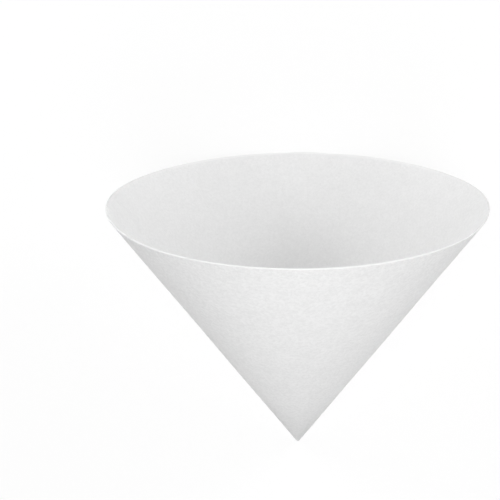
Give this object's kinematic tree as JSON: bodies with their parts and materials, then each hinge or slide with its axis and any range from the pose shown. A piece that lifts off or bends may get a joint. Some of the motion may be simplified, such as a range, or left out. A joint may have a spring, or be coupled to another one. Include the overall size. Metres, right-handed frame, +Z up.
{
  "type": "fryer oil filter cone",
  "caption": "White non-woven paper cone with an open round mouth, a blunt point, one fold and a crimped side seam, for straining used frying oil.",
  "frame": {"origin": "middle of the surface that the cone lies on, under the middle of its length", "axes": "+Z up from that surface, +Y from the cone's point towards its mouth, +X towards the seam"},
  "size_m": [0.2555, 0.2384, 0.2146],
  "materials": {
    "filter_paper": "matte white non-woven filter paper"
  },
  "bodies": {
    "root": {"filter_cone": "filter_paper"}
  },
  "joints": []
}
